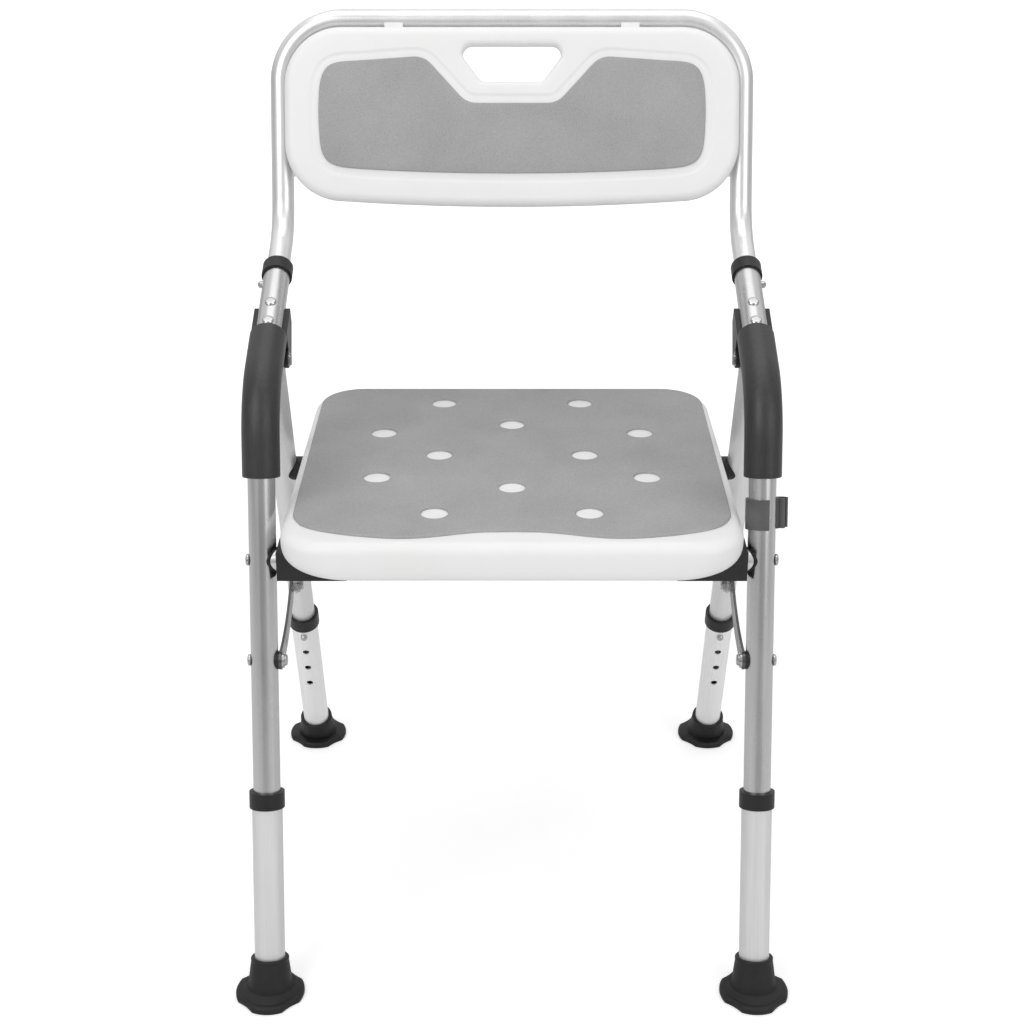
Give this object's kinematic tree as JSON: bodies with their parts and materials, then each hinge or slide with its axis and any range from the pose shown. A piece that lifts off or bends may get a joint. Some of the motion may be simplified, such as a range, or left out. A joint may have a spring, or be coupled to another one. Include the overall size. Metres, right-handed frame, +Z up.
{
  "type": "shower stool",
  "caption": "Folding shower chair: padded plastic seat and back rest on an aluminium tube frame with arm grips and telescopic legs on rubber feet.",
  "frame": {"origin": "on the floor, midway between the front and rear feet and between the left and right side frames", "axes": "+Z up, -Y towards the front of the chair where the user's knees are, +X to the right of someone facing the chair's front"},
  "size_m": [0.525, 0.5332, 0.8422],
  "materials": {
    "aluminium_tube": "satin",
    "fastener": "satin",
    "black_plastic": "matte",
    "black_rubber": "matte",
    "grip_foam": "matte",
    "white_shell": "satin",
    "grey_foam": "matte",
    "link_steel": "satin",
    "clip_plastic": "matte"
  },
  "bodies": {
    "front_frame": {"left_side_tube": "aluminium_tube", "right_side_tube": "aluminium_tube", "left_arm_grip": "grip_foam", "right_arm_grip": "grip_foam", "front_cross_tube": "aluminium_tube", "front_cross_saddles": "black_plastic", "front_cross_screws": "fastener", "left_hinge_bracket": "black_plastic", "right_hinge_bracket": "black_plastic", "bracket_screws": "fastener", "hinge_pins": "fastener", "link_pivot_bolts": "fastener", "link_pivot_saddles": "black_plastic", "link_pivot_spacers": "fastener", "arm_end_collars": "black_plastic", "front_leg_springs": "fastener"},
    "rear_frame": {"left_rear_tube": "aluminium_tube", "right_rear_tube": "aluminium_tube", "rear_cross_tube": "aluminium_tube", "rear_cross_saddles": "black_plastic", "rear_cross_screws": "fastener", "brace_bosses": "fastener", "rear_leg_springs": "fastener"},
    "seat": {"seat_shell": "white_shell", "seat_pad": "grey_foam", "front_seat_brackets": "black_plastic", "seat_bracket_screws": "fastener", "rear_seat_saddles": "black_plastic"},
    "back_rest": {"back_tube": "aluminium_tube", "back_panel": "white_shell", "back_pad": "grey_foam", "back_side_clips": "white_shell", "back_panel_clips": "white_shell", "back_panel_screws": "fastener", "back_plug_springs": "fastener"},
    "left_link": {"left_link": "link_steel"},
    "right_link": {"right_link": "link_steel"},
    "left_brace": {"left_brace": "fastener", "left_brace_rivets": "fastener"},
    "right_brace": {"right_brace": "fastener", "right_brace_rivets": "fastener"},
    "front_left_leg_end": {"front_left_extension": "aluminium_tube", "front_left_collar": "black_plastic", "front_left_foot": "black_rubber"},
    "front_right_leg_end": {"front_right_extension": "aluminium_tube", "front_right_collar": "black_plastic", "front_right_foot": "black_rubber"},
    "rear_left_leg_end": {"rear_left_extension": "aluminium_tube", "rear_left_collar": "black_plastic", "rear_left_foot": "black_rubber"},
    "rear_right_leg_end": {"rear_right_extension": "aluminium_tube", "rear_right_collar": "black_plastic", "rear_right_foot": "black_rubber"},
    "front_left_button": {"front_left_button": "fastener"},
    "front_right_button": {"front_right_button": "fastener"},
    "rear_left_button": {"rear_left_button": "fastener"},
    "rear_right_button": {"rear_right_button": "fastener"},
    "left_back_button": {"left_back_button": "fastener"},
    "right_back_button": {"right_back_button": "fastener"},
    "hose_clip": {"hose_clip": "clip_plastic"}
  },
  "joints": [
    {"name": "rear_frame_fold", "type": "hinge", "parent": "front_frame", "child": "rear_frame", "pos_m": [0, 0.01785, 0.54898], "axis": [-1, 0, 0], "range_deg": [0, 38.5]},
    {"name": "seat_lift", "type": "hinge", "parent": "front_frame", "child": "seat", "pos_m": [0, -0.1118, 0.40002], "axis": [1, 0, 0], "range_deg": [0, 73]},
    {"name": "left_link_pivot", "type": "hinge", "parent": "front_frame", "child": "left_link", "pos_m": [-0.2148, -0.13937, 0.30984], "axis": [-1, 0, 0], "range_deg": [0, 54.18]},
    {"name": "right_link_pivot", "type": "hinge", "parent": "front_frame", "child": "right_link", "pos_m": [0.2148, -0.13937, 0.30984], "axis": [-1, 0, 0], "range_deg": [0, 54.18]},
    {"name": "left_knee", "type": "hinge", "parent": "left_link", "child": "left_brace", "pos_m": [-0.2098, -0.0351, 0.336], "axis": [1, 0, 0], "range_deg": [0, 119.14]},
    {"name": "right_knee", "type": "hinge", "parent": "right_link", "child": "right_brace", "pos_m": [0.2098, -0.0351, 0.336], "axis": [1, 0, 0], "range_deg": [0, 119.14]},
    {"name": "back_rest_slide", "type": "slide", "parent": "front_frame", "child": "back_rest", "axis": [0, -0.9272, -0.3746], "range_m": [-0.045, 0]},
    {"name": "front_left_height", "type": "slide", "parent": "front_frame", "child": "front_left_leg_end", "axis": [0, -0.2924, -0.9563], "range_m": [-0.081, 0]},
    {"name": "front_right_height", "type": "slide", "parent": "front_frame", "child": "front_right_leg_end", "axis": [0, -0.2924, -0.9563], "range_m": [-0.081, 0]},
    {"name": "rear_left_height", "type": "slide", "parent": "rear_frame", "child": "rear_left_leg_end", "axis": [0, 0.3665, -0.9304], "range_m": [-0.081, 0]},
    {"name": "rear_right_height", "type": "slide", "parent": "rear_frame", "child": "rear_right_leg_end", "axis": [0, 0.3665, -0.9304], "range_m": [-0.081, 0]},
    {"name": "front_left_button_press", "type": "slide", "parent": "front_left_leg_end", "child": "front_left_button", "axis": [0, -0.9563, 0.2924], "range_m": [0, 0.0045], "stiffness_N_per_m": 400, "springref_m": -0.003},
    {"name": "front_right_button_press", "type": "slide", "parent": "front_right_leg_end", "child": "front_right_button", "axis": [0, -0.9563, 0.2924], "range_m": [0, 0.0045], "stiffness_N_per_m": 400, "springref_m": -0.003},
    {"name": "rear_left_button_press", "type": "slide", "parent": "rear_left_leg_end", "child": "rear_left_button", "axis": [0, 0.9304, 0.3665], "range_m": [0, 0.0045], "stiffness_N_per_m": 400, "springref_m": -0.003},
    {"name": "rear_right_button_press", "type": "slide", "parent": "rear_right_leg_end", "child": "rear_right_button", "axis": [0, 0.9304, 0.3665], "range_m": [0, 0.0045], "stiffness_N_per_m": 400, "springref_m": -0.003},
    {"name": "left_back_button_press", "type": "slide", "parent": "front_frame", "child": "left_back_button", "axis": [1, 0, 0], "range_m": [0, 0.0045], "stiffness_N_per_m": 400, "springref_m": -0.003},
    {"name": "right_back_button_press", "type": "slide", "parent": "front_frame", "child": "right_back_button", "axis": [-1, 0, 0], "range_m": [0, 0.0045], "stiffness_N_per_m": 400, "springref_m": -0.003},
    {"name": "hose_clip_turn", "type": "hinge", "parent": "front_frame", "child": "hose_clip", "pos_m": [0.23, -0.09925, 0.44109], "axis": [0, 0.2924, 0.9563], "range_deg": [-60, 60]}
  ],
  "couplings": [
    {"joint": "seat_lift", "follows": "rear_frame_fold", "ratio": 1.8961},
    {"joint": "left_link_pivot", "follows": "rear_frame_fold", "ratio": 1.4059},
    {"joint": "left_knee", "follows": "rear_frame_fold", "ratio": 3.0933},
    {"joint": "right_link_pivot", "follows": "rear_frame_fold", "ratio": 1.4059},
    {"joint": "right_knee", "follows": "rear_frame_fold", "ratio": 3.0933}
  ]
}
